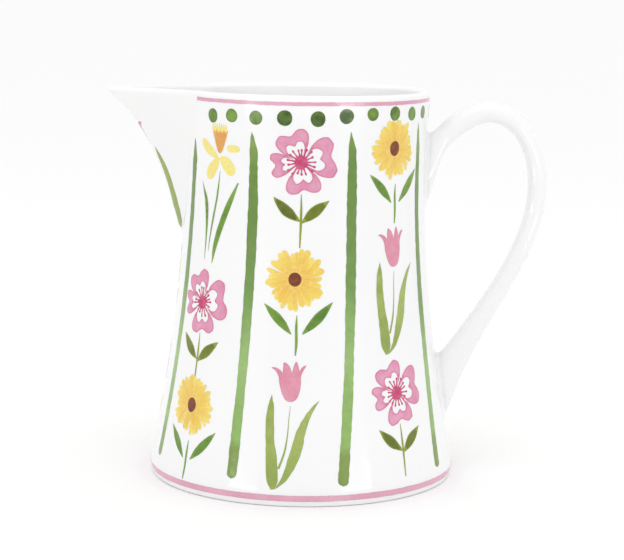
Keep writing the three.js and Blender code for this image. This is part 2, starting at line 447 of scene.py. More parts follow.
def through(points, count, closed=False):
    """count points on a smooth curve through the given ones."""
    given = np.asarray(points, dtype=float)
    if closed:
        padded = np.vstack([given[-1:], given, given[:2]])
    else:
        padded = np.vstack([2 * given[:1] - given[1:2], given, 2 * given[-1:] - given[-2:-1]])
    spans = len(padded) - 3
    where = np.linspace(0, spans, count, endpoint=not closed)
    span = np.minimum(where.astype(int), spans - 1)
    t = (where - span)[:, None]
    p0, p1, p2, p3 = (padded[span + i] for i in range(4))
    d0, d1, d2 = (
        np.sqrt(np.linalg.norm(b - a, axis=1))[:, None] + 1e-9 for a, b in ((p0, p1), (p1, p2), (p2, p3))
    )
    leave = d1 * ((p1 - p0) / d0 - (p2 - p0) / (d0 + d1) + (p2 - p1) / d1)
    arrive = d1 * ((p2 - p1) / d1 - (p3 - p1) / (d1 + d2) + (p3 - p2) / d2)
    bend = (2 * t**3 - 3 * t**2 + 1) * p1 + (t**3 - 2 * t**2 + t) * leave
    return bend + (3 * t**2 - 2 * t**3) * p2 + (t**3 - t**2) * arrive


# %% The handle's bar
HANDLE_OUTER = [
    (30, 94.5), (36, 98.5), (42, 103.8), (51.2, 107.1), (60.6, 103.8), (66.4, 95.3), (68.65, 85),
    (67.9, 75.4), (64.2, 63.8), (58.3, 52.1), (51.7, 40.3), (46, 28.5), (42, 18), (36, 8),
]
HANDLE_INNER = [
    (30, 70), (35.2, 79.5), (40.2, 93.6), (51.2, 101.1), (57.4, 99.3), (61.8, 93), (63.4, 85),
    (62.7, 75.9), (59.4, 66), (54.3, 56), (47.6, 45.6), (42.2, 38), (38.6, 34), (30, 31),
]
HANDLE_WIDTH, HANDLE_ROOT_WIDTH, HANDLE_SQUARENESS = 7.8, 10.0, 2.3
HANDLE_SIDES, HANDLE_STATIONS, HANDLE_SAMPLES = 44, 150, 700
ROOT_DEPTH = 1.3  # how far the bar goes on into the wall


def squared(share):
    """A sine or cosine pushed outwards, which turns an oval a little towards a box."""
    return math.copysign(abs(share) ** (2 / HANDLE_SQUARENESS), share)


def handle_lines():
    """One long line of points down each side of the bar, as an array of sides by samples."""
    outer = through(HANDLE_OUTER, HANDLE_SAMPLES)
    inner = through(HANDLE_INNER, HANDLE_SAMPLES)
    middle, half = (outer + inner) / 2, (outer - inner) / 2
    t = np.linspace(0, 1, HANDLE_SAMPLES)
    towards_root = np.abs(2 * t - 1) ** 4
    half_width = (HANDLE_WIDTH + (HANDLE_ROOT_WIDTH - HANDLE_WIDTH) * towards_root) / 2
    lines = []
    for turn in np.linspace(0, 2 * math.pi, HANDLE_SIDES, endpoint=False):
        edge = middle + half * squared(math.cos(turn))
        lines.append(np.column_stack([edge[:, 0], squared(math.sin(turn)) * half_width, edge[:, 1]]))
    return np.array(lines)


def depth_in_wall(points):
    radius = np.array([wall_radius(z) for z in points[:, 2]])
    return radius - np.hypot(points[:, 0], points[:, 1])


def crossing(line, depth):
    """Where along a side line it comes out of the wall and goes back in, as two sample numbers."""
    outside = np.flatnonzero(depth_in_wall(line) < depth)
    return outside[0], outside[-1]


def at(line, sample):
    """The point at a fractional sample number."""
    low = np.clip(np.floor(sample).astype(int), 0, len(line) - 2)
    share = (np.asarray(sample) - low)[..., None]
    return line[low] * (1 - share) + line[low + 1] * share


# %% Make the handle


def make_handle(lines):
    rings = []
    spans = [crossing(line, ROOT_DEPTH) for line in lines]
    for fraction in np.linspace(0, 1, HANDLE_STATIONS):
        rings.append([at(line, a + (b - a) * fraction) for line, (a, b) in zip(lines, spans)])
    rings = np.array(rings)
    points = rings.reshape(-1, 3)
    faces = ring_faces(HANDLE_STATIONS, HANDLE_SIDES)
    start, end = len(points), len(points) + 1
    points = np.vstack([points, rings[0].mean(axis=0), rings[-1].mean(axis=0)])
    last = (HANDLE_STATIONS - 1) * HANDLE_SIDES
    for side in range(HANDLE_SIDES):
        beside = (side + 1) % HANDLE_SIDES
        faces.append((start, beside, side))
        faces.append((end, last + side, last + beside))
    handle = make_piece("handle_loop", points, faces, [porcelain])
    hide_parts("handle")
    return handle


handle_sides = handle_lines()
handle = make_handle(handle_sides)
print("the handle has", len(handle.data.polygons), "faces")

# %% [markdown]
# Where the handle meets the wall, the potter wipes slip into the corner with a fingertip, and the
# glaze gathers there too. That leaves a small hollow curve all round each root. It is a strip of
# its own here: it starts along the handle, ends along the wall, and is pulled towards the corner
# between them.

# %% Make the slip round the handle's roots
SLIP_REACH, SLIP_STEPS = 2.0, 9
SLIP_DEPTH, SLIP_TUCK = 0.8, 0.12  # where the strip closes, inside the wall and under the handle


def unit(vectors):
    return vectors / np.linalg.norm(vectors, axis=1)[:, None]


def measured(line):
    """How far along a line each of its points is."""
    return np.concatenate([[0], np.cumsum(np.linalg.norm(np.diff(line, axis=0), axis=1))])


def wall_normals(points):
    slope = np.array([(wall_radius(z + 0.05) - wall_radius(z - 0.05)) / 0.1 for z in points[:, 2]])
    return unit(np.column_stack([unit(points[:, :2]), -slope]))


def make_root_slip(name, node, lines, which):
    """which is 0 for the root at the start of the lines, the upper one, and 1 for the lower one."""
    corner, on_handle = [], []
    step = 1 if which == 0 else -1
    for line in lines:
        sample = crossing(line, 0.0)[which]
        walked = measured(line[sample::step])
        corner.append(line[sample])
        on_handle.append(at(line, sample + step * np.interp(SLIP_REACH, walked, range(len(walked)))))
    corner, on_handle = np.array(corner), np.array(on_handle)
    around = np.roll(corner, -1, axis=0) - np.roll(corner, 1, axis=0)
    wall_side = wall_normals(corner)
    away = unit(np.cross(around, wall_side))
    away *= np.sign(np.sum(away * (corner - corner.mean(axis=0))))
    on_body = corner + away * SLIP_REACH
    on_body += wall_normals(on_body) * depth_in_wall(on_body)[:, None]
    around_handle = np.roll(on_handle, -1, axis=0) - np.roll(on_handle, 1, axis=0)
    handle_side = unit(np.cross(around_handle, on_handle - corner))
    handle_side *= np.sign(np.sum(handle_side * (on_handle - on_handle.mean(axis=0))))
    rings, normals = [], []
    for s in np.linspace(0, 1, SLIP_STEPS):
        rings.append((1 - s) ** 2 * on_handle + 2 * s * (1 - s) * corner + s**2 * on_body)
        normals.append(unit((1 - s) * handle_side + s * wall_normals(on_body)))
    rings.append(corner - wall_side * SLIP_DEPTH + (corner.mean(axis=0) - corner) * SLIP_TUCK)
    normals.append(-wall_side)
    faces = ring_faces(len(rings), len(lines), closed=True)
    if which == 1:
        faces = [face[::-1] for face in faces]
    slip = make_piece(name, np.vstack(rings), faces, [porcelain], normals=np.vstack(normals))
    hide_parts(node)
    return slip


make_root_slip("handle_upper_slip", "handle_upper_lute", handle_sides, 0)
make_root_slip("handle_lower_slip", "handle_lower_lute", handle_sides, 1)
print("wiped the slip round both roots")

# %% [markdown]
# ## Drawing on the wall
# A printed pattern comes as a thin film of ceramic colour on a sheet, cut out and slid onto the
# glaze. So each motif is drawn flat, in millimetres, and then laid on the wall: sideways distances
# are measured round the slice at that height, and upright ones up the wall. The first helper turns
# a distance round the slice into a place on the wall, beak included.

# %% From the flat drawing to the wall
LEVELS = np.linspace(0.3, LIP_Z, 440)
section_r, section_z = np.array(foot_section()[-10:]).T  # the outer edge and the rounding above it
OUTSIDE_R = np.array([
    np.interp(z, section_z, section_r) if z < BASE_CORNER_Z else wall_radius(z) for z in LEVELS
])
FLANKS = np.array([flank(r, z, 1.0)[0] for r, z in zip(OUTSIDE_R, LEVELS)])
STEPS_ALONG = np.cumsum(
    np.pad(np.linalg.norm(np.diff(FLANKS, axis=1), axis=2), ((0, 0), (1, 0))), axis=1
)
SEAM_ANGLES = np.array([flank(r, z, 1.0)[1] for r, z in zip(OUTSIDE_R, LEVELS)])
SHARES = np.linspace(0, 1, 160)
EVEN_FLANKS = np.array([
    [np.interp(SHARES * steps[-1], steps, curve[:, i]) for i in (0, 1)]
    for steps, curve in zip(STEPS_ALONG, FLANKS)
])


def level_facts(z):
    """The wall's radius, the seam's angle and the flank's length at some heights."""
    return (np.interp(z, LEVELS, values) for values in (OUTSIDE_R, SEAM_ANGLES, STEPS_ALONG[:, -1]))


def between(grid, row, column, up, along):
    """The value between the four nearest points of a grid."""
    low = grid[row, column] * (1 - along) + grid[row, column + 1] * along
    high = grid[row + 1, column] * (1 - along) + grid[row + 1, column + 1] * along
    return low * (1 - up) + high * up


def on_wall(distance, z):
    """Points on the outside: distance round the slice from the keel, positive on the near side."""
    distance, z = np.broadcast_arrays(np.asarray(distance, float), np.asarray(z, float))
    radius, seam, flank_length = level_facts(z)
    turn = seam + (np.abs(distance) - flank_length) / radius
    forward, sideways = radius * np.cos(turn), radius * np.sin(turn)
    level = np.clip((z - LEVELS[0]) / (LEVELS[1] - LEVELS[0]), 0, len(LEVELS) - 1.001)
    share = np.clip(np.abs(distance) / flank_length, 0, 1) * (len(SHARES) - 1.001)
    row, column = level.astype(int), share.astype(int)
    on_beak = [between(EVEN_FLANKS[:, i], row, column, level - row, share - column) for i in (0, 1)]
    beak = np.abs(distance) < flank_length
    forward = np.where(beak, on_beak[0], forward)
    sideways = np.where(beak, on_beak[1], sideways) * np.where(distance < 0, -1, 1)
    return np.column_stack([-forward, -sideways, z])


def outward(distance, z):
    """The wall's normals at those places."""
    reach = 0.15
    round_it = on_wall(distance + reach, z) - on_wall(distance - reach, z)
    up_it = on_wall(distance, z + reach) - on_wall(distance, z - reach)
    return unit(np.cross(round_it, up_it))


def from_keel(degrees, z):
    """Distance round the slice to an angle from the front, which grows towards the handle."""
    turn = math.radians((degrees + 270) % 360 - 180)
    radius, seam, length = level_facts(z)
    past = length + (abs(turn) - seam) * radius
    inside = length * abs(turn) / seam
    return math.copysign(1, turn) * np.where(abs(turn) > seam, past, inside)


print("the front of the wall at half height is at", np.round(on_wall(from_keel(0, 50.0), 50.0)[0], 2))

# %% [markdown]
# A flat shape is one or more closed outlines. It is filled with small triangles, because a big
# triangle would cut the corner of the round wall. Blender's own triangulation joins the outline to
# a grid of points inside it. Each shape becomes a very thin closed film, a few hundredths of a
# millimetre proud of the glaze, with the wall's own normals, so the gloss runs on over its edge.

# %% Fill and lay a film of colour
FILM, BURIED = 0.03, 0.06  # how far the colour stands proud of the glaze, and reaches into it
WALL_PITCH, BEAK_PITCH = 0.9, 0.5  # the spacing of the points inside a shape


def is_inside(points, loops):
    """Whether each point is inside the outlines, counting holes."""
    inside = np.zeros(len(points), bool)
    x, y = points[:, 0], points[:, 1]
    for loop in loops:
        for (x0, y0), (x1, y1) in zip(loop, np.roll(loop, -1, axis=0)):
            if y0 == y1:
                continue
            crosses = (y0 > y) != (y1 > y)
            inside ^= crosses & (x < (x1 - x0) * (y - y0) / (y1 - y0) + x0)
    return inside


def fill(loops, pitch):
    """Points and triangles that fill the outlines."""
    outline = np.vstack(loops)
    edges, first = [], 0
    for loop in loops:
        count = len(loop)
        edges += [(first + i, first + (i + 1) % count) for i in range(count)]
        first += count
    low, high = outline.min(axis=0), outline.max(axis=0)
    xs, ys = np.arange(low[0], high[0], pitch), np.arange(low[1], high[1], pitch * 0.87)
    grid = np.array([(x + pitch / 2 * (j % 2), y) for j, y in enumerate(ys) for x in xs])
    grid = grid[is_inside(grid, loops)]
    if len(grid):
        near = np.array([np.hypot(*(outline - p).T).min() for p in grid])
        grid = grid[near > 0.45 * pitch]
    given = [Vector(p) for p in np.vstack([outline, grid.reshape(-1, 2)])]
    points, _, triangles, *_ = delaunay_2d_cdt(given, edges, [], 0, 1e-6)
    points = np.array([(p.x, p.y) for p in points])
    triangles = np.array(triangles)
    a, b, c = (points[triangles[:, i]] for i in range(3))
    facing = np.cross(b - a, c - a)
    triangles = triangles[is_inside((a + b + c) / 3, loops) & (np.abs(facing) > 1e-9)]
    used, renumbered = np.unique(triangles, return_inverse=True)
    return points[used], [tuple(t) for t in renumbered.reshape(-1, 3).tolist()], outline


def upright_share(degrees, centre):
    """How much height a millimetre up the wall gains, which is less where the beak leans out."""
    z = centre[1] + np.array([-1.0, 1.0])
    low, high = on_wall(from_keel(degrees, z) + centre[0], z)
    return 2 / np.linalg.norm(high - low)


def film_faces(triangles, surface, out):
    """Faces of a thin closed film over the surface: its top, its underside and its edge."""
    under = len(surface)
    a, b, c = (surface[list(i)] for i in zip(*triangles))
    faces_out = np.sum(np.cross(b - a, c - a) * out[[t[0] for t in triangles]], axis=1) > 0
    top = [t if good else t[::-1] for t, good in zip(triangles, faces_out)]
    sides = {(t[i], t[(i + 1) % 3]) for t in top for i in range(3)}
    edge = [(v, u, under + u, under + v) for u, v in sorted(sides) if (v, u) not in sides]
    return top + [tuple(under + v for v in t[::-1]) for t in top] + edge


def shape_marks(shape, flat, outline):
    """The numbers that a shape's points carry for its finish."""
    rim = np.array([np.hypot(*(outline - p).T).min() for p in flat])
    along = np.full(len(flat), 0.5)
    if "line" in shape:
        line = shape["line"]
        along = np.array([np.hypot(*(line - p).T).argmin() for p in flat]) / (len(line) - 1)
    return {"rim": rim, "tone": np.full(len(flat), shape.get("tone", 0.5)), "along": along}


def lay(name, shapes, degrees, centre, finish, pitch=WALL_PITCH, mirror=False, upright=1.0):
    """One piece of printed colour. Each shape is a dict of its outlines, layer, tone and line."""
    points, normals, faces, drawing = [], [], [], []
    marks = {"rim": [], "tone": [], "along": []}
    for shape in shapes:
        flat, triangles, outline = fill(shape["loops"], pitch)
        z = centre[1] + flat[:, 1] * upright
        distance = from_keel(degrees, z) + centre[0] + flat[:, 0] * (-1 if mirror else 1)
        surface, out = on_wall(distance, z), outward(distance, z)
        first = sum(len(p) for p in points)
        faces += [tuple(first + v for v in face) for face in film_faces(triangles, surface, out)]
        points += [surface + out * (FILM + shape.get("layer", 0)), surface - out * BURIED]
        normals += [out, -out]
        for key, values in shape_marks(shape, flat, outline).items():
            marks[key] += [values, values]
        drawing += [flat, flat]
    piece = make_piece(name, np.vstack(points), faces, [finish], normals=np.vstack(normals))
    for key, values in marks.items():
        attribute = piece.data.attributes.new(key, "FLOAT", "POINT")
        attribute.data.foreach_set("value", np.concatenate(values).astype(np.float32))
    flat_map = piece.data.uv_layers.new(name="drawing")
    corners = np.empty(len(piece.data.loops), np.int32)
    piece.data.loops.foreach_get("vertex_index", corners)
    centimetres = np.vstack(drawing)[corners] / 10
    flat_map.data.foreach_set("uv", centimetres.ravel().astype(np.float32))
    return piece


# %% [markdown]
# Most of the pattern is brush strokes: a line that the brush follows and a width that swells and
# thins as the brush is pressed. The edge of a painted stroke wavers a little. The waver comes from
# a random generator that is seeded with the piece's name, so every run draws the same jug.

# %% Brush strokes
OUTLINE_STEP = 0.4


def evenly(line, step, closed=False):
    """The same line with points about a step apart."""
    whole = np.vstack([line, line[:1]]) if closed else line
    lengths = measured(whole)
    count = max(4, int(round(lengths[-1] / step)))
    wanted = np.linspace(0, lengths[-1], count + 1)
    resampled = np.column_stack([np.interp(wanted, lengths, whole[:, i]) for i in (0, 1)])
    return resampled[:-1] if closed else resampled


def waver(count, amount, rng, knots=None):
    """A smooth random wobble of count values that ends as it starts."""
    knots = knots or max(4, count // 3)
    values = [rng.uniform(-amount, amount) for _ in range(knots)]
    return np.interp(np.arange(count) / count * knots, range(knots + 1), values + values[:1])


def stroke(
    points, widths, rng, rough=0.05, step=OUTLINE_STEP, round_start=False, round_end=False, **facts
):
    """A brush stroke along points, with a full width given at each of them."""
    line = through(points, 12 * len(points))
    width = through(np.column_stack([np.arange(len(widths)), widths]), 12 * len(points))[:, 1]
    lengths = measured(line)
    even = evenly(line, step)
    reached = measured(even)
    wide = np.maximum(np.interp(reached, lengths, width), 0) / 2
    for is_round, from_end in ((round_start, reached), (round_end, reached[-1] - reached)):
        if is_round:
            left = 1 - np.minimum(from_end / (0.9 * wide.max()), 1)
            wide = wide * np.sqrt(1 - left**2)
    direction = np.gradient(even, axis=0)
    direction /= np.linalg.norm(direction, axis=1)[:, None]
    aside = np.column_stack([-direction[:, 1], direction[:, 0]])
    edges = []
    for side in (1, -1):
        ragged = wide + waver(len(even), rough, rng) * (wide > 0.25)
        edges.append(even + aside * (side * np.maximum(ragged, 0.04))[:, None])
    loop = np.vstack([edges[0], edges[1][::-1]])
    return {"loops": [loop], "line": even, **facts}


def blob(radius_x, radius_y, rng, centre=(0, 0), rough=0.06, step=0.5, **facts):
    """A dab of the brush: nearly an oval."""
    count = max(10, int(2 * math.pi * max(radius_x, radius_y) / step))
    turn = np.linspace(0, 2 * math.pi, count, endpoint=False)
    size = 1 + waver(count, rough, rng, knots=7)
    loop = np.column_stack([np.cos(turn) * radius_x * size, np.sin(turn) * radius_y * size])
    return {"loops": [loop + centre], **facts}


trial = stroke([(0, 0), (0, 5), (0, 9)], [0, 2, 0], random.Random(1))
print("a short stroke's outline has", len(trial["loops"][0]), "points")

# %% [markdown]
# ## The printed colours
# The pattern was painted in watercolour before it was printed, and it keeps that look: the colour
# is blotchy inside a stroke, each stroke is a little lighter or darker than the next, and pigment
# gathers at the edge. The film carries those facts at its points: rim is the distance to the edge
# in millimetres, tone is a stroke's own shade, and along runs from one end of a stroke to the other.

# %% The recipe for watercolour under glaze
GLAZE_SHEEN = 0.04  # white light that the clear glaze adds on top of a colour


def dye(red, green, blue):
    """A colour as it looks through the glaze, 0 to 255, in the linear light that a shader wants."""
    shares = [v / 255 for v in (red, green, blue)]
    linear = [c / 12.92 if c <= 0.04045 else ((c + 0.055) / 1.055) ** 2.4 for c in shares]
    return tuple(max(c - GLAZE_SHEEN, 0.002) for c in linear)


def watercolour(
    name, light, dark, rim=None, rim_width=0.3, rim_strength=0.6, ends=None, blotch=330.0
):
    """ends is a list of (along, strength) stops for mixing towards the colour in ends[0]."""
    recipe = Recipe(name)
    shifted = recipe.calc("MULTIPLY_ADD", recipe.mark("tone"), 0.45, recipe.noise(blotch, 4.0, 0.6))
    colour = recipe.ramp(shifted, [(0.45, dark), (0.95, light)])
    if ends:
        end_colour, stops = ends
        strength = recipe.ramp(recipe.mark("along"), [(where, (s, s, s)) for where, s in stops])
        colour = recipe.mix(strength, colour, end_colour)
    if rim:
        pooled = recipe.span(recipe.mark("rim"), 0.0, rim_width, rim_strength, 0.0)
        colour = recipe.mix(pooled, colour, rim)
    grain = recipe.span(recipe.noise(2200.0, 2.0, 0.7), 0.3, 0.7, 0.93, 1.05)
    recipe.coat(Base_Color=recipe.shade(colour, grain))
    glaze_surface(recipe)
    return recipe.material


petal_pink = watercolour(
    "petal_pink", dye(231, 174, 198), dye(221, 138, 170),
    rim=dye(213, 122, 154), rim_width=0.6, rim_strength=0.8,
)
deep_pink = watercolour("deep_pink", dye(214, 112, 148), dye(196, 66, 108))
tulip_pink = watercolour(
    "tulip_pink", dye(229, 164, 182), dye(220, 138, 162), rim=dye(220, 142, 166),
)
line_pink = watercolour("line_pink", dye(230, 182, 200), dye(222, 160, 182), blotch=90.0)
daisy_yellow = watercolour(
    "daisy_yellow", dye(247, 224, 118), dye(242, 202, 98), rim=dye(247, 230, 146), rim_strength=0.4,
    ends=(dye(238, 186, 92), [(0.0, 0.9), (0.5, 0.4), (0.85, 0.0)]),
)
daisy_brown = watercolour(
    "daisy_brown", dye(150, 92, 34), dye(108, 54, 20), rim=dye(172, 120, 48), blotch=700.0,
)
daffodil_yellow = watercolour(
    "daffodil_yellow", dye(249, 236, 152), dye(245, 226, 126), rim=dye(247, 232, 138),
)
daffodil_orange = watercolour(
    "daffodil_orange", dye(233, 174, 106), dye(222, 150, 86), rim=dye(240, 196, 120), rim_width=0.4,
)
leaf_green = watercolour(
    "leaf_green", dye(126, 164, 74), dye(88, 126, 46), rim=dye(134, 168, 82), rim_width=0.4,
    ends=(dye(150, 182, 104), [(0.0, 0.8), (0.2, 0.1), (0.85, 0.1), (1.0, 0.7)]),
)
leaf_olive = watercolour(
    "leaf_olive", dye(124, 138, 50), dye(94, 106, 32),
    rim=dye(158, 168, 72), rim_width=0.35, rim_strength=0.8,
)
leaf_lime = watercolour(
    "leaf_lime", dye(178, 192, 116), dye(152, 168, 92), rim=dye(156, 172, 92),
    ends=(dye(136, 160, 82), [(0.0, 0.5), (0.15, 0.1), (0.6, 0.1), (0.85, 0.6), (1.0, 0.3)]),
)
dot_green = watercolour(
    "dot_green", dye(132, 164, 82), dye(78, 100, 38), rim=dye(92, 120, 44), rim_width=0.45,
)
print("mixed", len(bpy.data.materials), "finishes")

# %% [markdown]
# The tall stripes are single strokes of a loaded brush. The green goes from light to dark and back
# as the brush empties and picks up water, and ends in a dark olive pool where it was lifted. So the
# stripe's colour follows its length, shifted a little by its own tone and by a slow noise.

# %% The stripes' green


def stripe_finish():
    recipe = Recipe("stripe_green")
    along = recipe.mark("along")
    drifted = recipe.calc("MULTIPLY_ADD", recipe.noise(60.0), 0.16, along)
    moved = recipe.calc("MULTIPLY_ADD", recipe.mark("tone"), 0.1, drifted)
    stops = [
        (0.13, dye(137, 162, 90)), (0.22, dye(112, 144, 70)), (0.34, dye(112, 144, 73)),
        (0.46, dye(118, 148, 83)), (0.58, dye(120, 154, 86)), (0.68, dye(140, 174, 104)),
        (0.8, dye(158, 190, 121)), (0.93, dye(146, 180, 107)), (1.0, dye(148, 184, 106)),
    ]
    colour = recipe.ramp(moved, stops)
    pool = recipe.span(along, 0.885, 0.915, 0.0, 0.8)
    colour = recipe.mix(pool, colour, dye(130, 150, 80))
    mottle = recipe.span(recipe.noise(420.0, 4.0, 0.65), 0.3, 0.7, 0.9, 1.08)
    edge = recipe.span(recipe.mark("rim"), 0.0, 0.35, 0.93, 1.0)
    recipe.coat(Base_Color=recipe.shade(colour, recipe.calc("MULTIPLY", mottle, edge)))
    glaze_surface(recipe)
    return recipe.material


stripe_green = stripe_finish()
print("made the finish", stripe_green.name)

# %% [markdown]
# ## The flowers
# Each kind of flower is drawn once, round its own middle, and printed wherever the pattern has it.
# A flower is a list of parts, each with a name, a slot, a finish and its shapes. Leaves and stems
# belong to their flower, because the painter drew them together.

# %% Leaves and stems


def leaf(tip, base, bulge, width, rng, **facts):
    """A leaf from its tip to its base. bulge bends its middle to the left, seen from tip to base."""
    tip, base = np.array(tip), np.array(base)
    across = np.array([base[1] - tip[1], tip[0] - base[0]]) / math.dist(tip, base)
    shares = np.linspace(0, 1, 7)
    middle = [tip + (base - tip) * s + across * bulge * math.sin(math.pi * s) for s in shares]
    widths = width * np.array([0.03, 0.5, 0.85, 1.0, 0.9, 0.55, 0.12])
    return stroke(middle, widths, rng, rough=0.06, tone=rng.uniform(0.1, 0.7), **facts)


def stem(points, width, rng):
    widths = [0.3 * width] + [width] * (len(points) - 2) + [0.55 * width]
    return stroke(points, widths, rng, rough=0.03, tone=rng.uniform(0.3, 0.7))


# %% [markdown]
# The primrose has four pink petals, each notched like a heart, with a clear throat where the white
# shows, and a deep pink eye with stamens like a starburst. One petal is a ring sector: its outer
# edge dips at the notch, and its inner edge follows at a distance, so the throat is heart-shaped.

# %% Draw a primrose
STAMENS = 17
PRIMROSE_PETALS = [  # angle, half angle and length
    (11, 48, 10.2), (113, 44, 9.3), (188, 32, 8.8), (-84, 45, 9.3),
]


def primrose_petal(angle, half_angle, length, rng):
    u = np.linspace(-1, 1, 49)
    notch = 1 - 0.2 * np.exp(-((u / 0.3) ** 2))
    outer = length * notch * (1 - 0.48 * u**6) * (1 + waver(len(u), 0.02, rng))
    v = np.linspace(0.8, -0.8, 35)
    dip = 1 - 0.22 * np.exp(-((v / 0.2) ** 2))
    throat = 0.63 * length * dip * (1 - 0.3 * (v / 0.8) ** 4) * (1 + waver(len(v), 0.03, rng))
    base = 0.22 * length
    radii = np.concatenate([outer, [base], throat, [base]])
    turns = np.radians(angle + half_angle * np.concatenate([u, [0.86], v, [-0.86]]))
    loop = np.column_stack([radii * np.cos(turns), radii * np.sin(turns)])
    return {"loops": [evenly(loop, 0.35, closed=True)], "tone": rng.uniform(0.3, 0.7)}


def primrose(rng):
    petals = [primrose_petal(*petal, rng) for petal in PRIMROSE_PETALS]
    eye = [blob(1.6, 1.7, rng, rough=0.12, layer=0.004, tone=0.1)]
    for i in range(STAMENS):
        turn = 2 * math.pi / STAMENS * (i + rng.uniform(-0.25, 0.25))
        reach = rng.uniform(3.3, 4.5)
        way = np.array([math.cos(turn), math.sin(turn)])
        line = [way * 0.8, way * 2.0, way * (reach - 1.0), way * (reach - 0.4), way * reach]
        knob = rng.uniform(0.65, 0.9)
        widths = [1.0, 0.5, 0.34, 0.8 * knob, knob]
        facts = {"round_end": True, "layer": 0.004 + 0.0004 * i, "tone": rng.uniform(0.1, 0.6)}
        eye.append(stroke(line, widths, rng, 0.02, 0.15, **facts))
    leaves = [
        leaf((-7.4, -9.4), (-0.2, -15.8), 0.35, 2.9, rng),
        leaf((7.7, -10.2), (0.3, -16.3), 0.15, 2.9, rng),
    ]
    stalk = [stem([(0.1, -8.5), (0.15, -13), (0.1, -17), (-0.1, -23)], 0.62, rng)]
    return [
        ("petals", "enamel_pink", petal_pink, petals),
        ("eye", "enamel_pink", deep_pink, eye),
        ("leaves", "enamel_green", leaf_olive, leaves),
        ("stem", "enamel_green", leaf_olive, stalk),
    ]


# %% [markdown]
# The daisy is a ring of short yellow strokes laid over each other, darker towards the brown eye.
# Each petal is a film of its own, a few thousandths of a millimetre above the last, so that the
# upper one hides the lower, as wet paint laid over dry does.

# %% Draw a daisy
DAISY_PETALS, DAISY_REACH = 29, 8.3


def daisy(rng):
    petals = []
    for i in range(DAISY_PETALS):
        turn = math.radians(360 / DAISY_PETALS * (i + rng.uniform(-0.3, 0.3)))
        reach = DAISY_REACH * rng.uniform(0.84, 1.05)
        way = np.array([math.cos(turn), math.sin(turn)])
        aside = np.array([-way[1], way[0]]) * rng.uniform(-0.4, 0.4)
        line = [way * 1.0, way * reach * 0.45 + aside, way * reach * 0.75 + aside, way * reach]
        wide = rng.uniform(1.3, 2.2)
        shuffled = 7 * i % DAISY_PETALS
        facts = {"round_end": True, "layer": 0.001 * shuffled, "tone": rng.uniform(0.0, 1.0)}
        petals.append(stroke(line, [0.9, 0.9 * wide, wide, 0.7 * wide], rng, 0.06, 0.35, **facts))
    eye = [blob(1.75, 2.0, rng, rough=0.07, layer=0.04, tone=0.4)]
    leaves = [
        leaf((-8.4, -6.8), (-0.8, -14.8), -0.2, 2.4, rng),
        leaf((10.4, -6.1), (2.3, -14.7), -0.1, 2.6, rng),
    ]
    stalk = [stem([(0.7, -9.7), (0.6, -13), (0.7, -17), (0.5, -20.5)], 0.7, rng)]
    return [
        ("petals", "enamel_yellow", daisy_yellow, petals),
        ("eye", "enamel_brown", daisy_brown, eye),
        ("leaves", "enamel_green", leaf_green, leaves),
        ("stem", "enamel_green", leaf_green, stalk),
    ]


# %% [markdown]
# The tulip is one pink cup with four pointed tips. Its outline is a smooth curve through a few
# points, with the valleys between the tips kept sharp. Its long leaves start together at the foot.

# %% Draw a tulip
TULIP_CUP = [  # smooth stretches, from corner to corner
    [(-2.1, 7.8), (-3, 8.7), (-4.1, 9.2), (-5.3, 9.1), (-4.2, 8.4), (-3.3, 7), (-2.9, 4.6), (-2.2, 2.2)],
    [
        (-2.2, 2.2), (-1.2, 0.5), (0.1, 0), (1.6, 0.6), (2.5, 2.4), (2.9, 5), (2.9, 7), (3.5, 8.5),
        (4.4, 10),
    ],
    [(4.4, 10), (3.3, 9.6), (2.4, 8.3)],
    [(2.4, 8.3), (2.1, 9.8), (1.5, 11), (0.9, 9.8), (0.4, 7.7)],
    [(0.4, 7.7), (0.1, 8.8), (-0.6, 10), (-1.8, 10.7), (-2, 9.6), (-2.1, 7.8)],
]
TULIP_STROKES = {  # the brush's path and its widths
    "left": (
        [(-4.9, 1.7), (-5.1, -1.5), (-5.3, -6), (-5.1, -11), (-4.6, -16), (-4.3, -21), (-4.1, -23.6)],
        [0.05, 1.7, 2.3, 2.5, 3.1, 3.2, 1.2],
    ),
    "right": (
        [
            (8, 0.4), (6.4, -1.5), (4.6, -4.6), (3.1, -8.5), (2.2, -12.5), (0.9, -16.5),
            (-1.2, -20.9), (-3.3, -23.3),
        ],
        [0.05, 0.9, 1.6, 2.5, 2.9, 2.6, 1.4, 0.3],
    ),
    "stalk": (
        [(0.2, -1.1), (-0.1, -4.5), (-0.4, -9), (-1.1, -13.5), (-2.6, -18)],
        [0.1, 0.2, 0.3, 0.5, 0.6],
    ),
}


def tulip(rng):
    edge = np.vstack([through(points, 6 * len(points))[:-1] for points in TULIP_CUP])
    cup = {"loops": [evenly(edge, 0.4, closed=True)], "tone": 0.5}
    leaves = [
        stroke(*TULIP_STROKES["left"], rng, 0.07, tone=0.35),
        stroke(*TULIP_STROKES["right"], rng, 0.07, tone=0.7, layer=0.003),
    ]
    stalk = [stroke(*TULIP_STROKES["stalk"], rng, 0.02, tone=0.5, layer=0.006)]
    return [
        ("cup", "enamel_pink", tulip_pink, [cup]),
        ("leaves", "enamel_green", leaf_lime, leaves),
        ("stem", "enamel_green", leaf_lime, stalk),
    ]


# %% [markdown]
# The daffodil hangs its head: an orange trumpet with a frill of yellow points at its mouth, and
# four loose yellow petals round its foot. Its leaves are thin and pointed at both ends.

